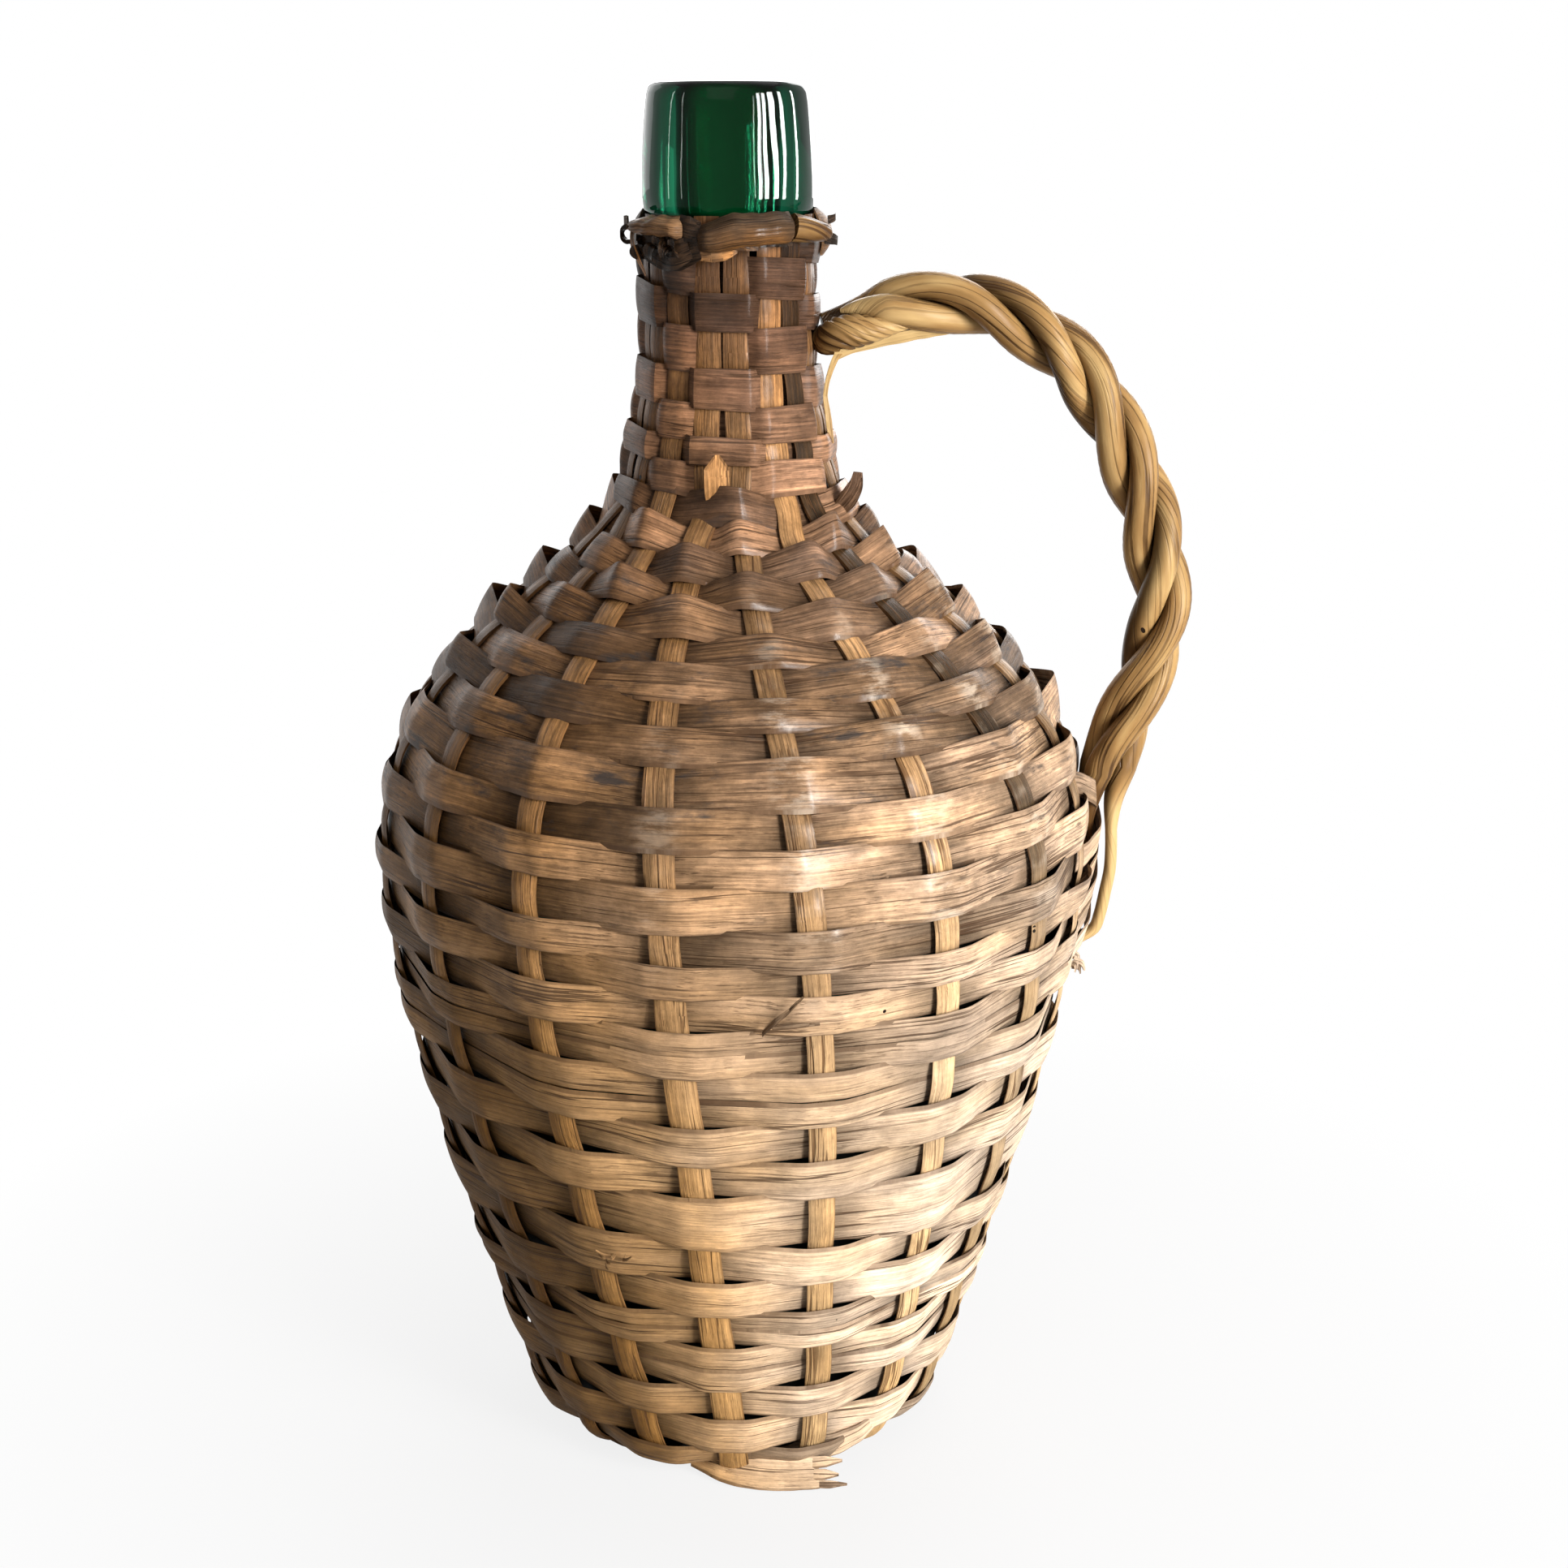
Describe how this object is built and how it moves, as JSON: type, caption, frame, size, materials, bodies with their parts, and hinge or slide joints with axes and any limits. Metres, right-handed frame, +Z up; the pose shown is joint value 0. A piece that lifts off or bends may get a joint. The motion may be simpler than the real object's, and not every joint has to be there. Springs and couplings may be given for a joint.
{
  "type": "wicker demijohn",
  "caption": "Green glass demijohn with a ring lip, covered in woven wood splints from foot to neck, with a bowed handle of twisted willow rods at one side.",
  "frame": {"origin": "on the floor under the middle of the base", "axes": "+Z up along the bottle's axis, +X towards the handle, the pictured side faces -Y"},
  "size_m": [0.2736, 0.2418, 0.455],
  "materials": {
    "bottle_glass": "deep bottle-green glass, smooth, almost black where it is thick",
    "upright_splint_wood": "split wood, golden where it shows, grain along the splint",
    "woven_splint_wood": "aged split wood, tan on the body and dark brown on the neck, scuffed and dusty on the bumps",
    "collar_splint_wood": "grey-brown folded splints with frayed edges",
    "handle_willow": "peeled willow rod, glossy golden yellow with fine dark cracks along it",
    "tie_splint_wood": "split wood strip"
  },
  "bodies": {
    "root": {"glass_bottle": "bottle_glass", "upright_splint_1": "upright_splint_wood", "upright_splint_2": "upright_splint_wood", "upright_splint_3": "upright_splint_wood", "upright_splint_4": "upright_splint_wood", "upright_splint_5": "upright_splint_wood", "upright_splint_6": "upright_splint_wood", "upright_splint_7": "upright_splint_wood", "upright_splint_8": "upright_splint_wood", "upright_splint_9": "upright_splint_wood", "woven_splint_01": "woven_splint_wood", "woven_splint_02": "woven_splint_wood", "woven_splint_03": "woven_splint_wood", "woven_splint_04": "woven_splint_wood", "woven_splint_05": "woven_splint_wood", "woven_splint_06": "woven_splint_wood", "woven_splint_07": "woven_splint_wood", "woven_splint_08": "woven_splint_wood", "woven_splint_09": "woven_splint_wood", "woven_splint_10": "woven_splint_wood", "woven_splint_11": "woven_splint_wood", "woven_splint_12": "woven_splint_wood", "woven_splint_13": "woven_splint_wood", "base_splint": "woven_splint_wood", "collar_splint_1": "collar_splint_wood", "collar_splint_2": "collar_splint_wood", "collar_splint_3": "collar_splint_wood", "handle_rod_1": "handle_willow", "handle_rod_2": "handle_willow", "handle_rod_3": "handle_willow", "handle_neck_tie": "tie_splint_wood", "handle_lower_tie": "tie_splint_wood"}
  },
  "joints": []
}
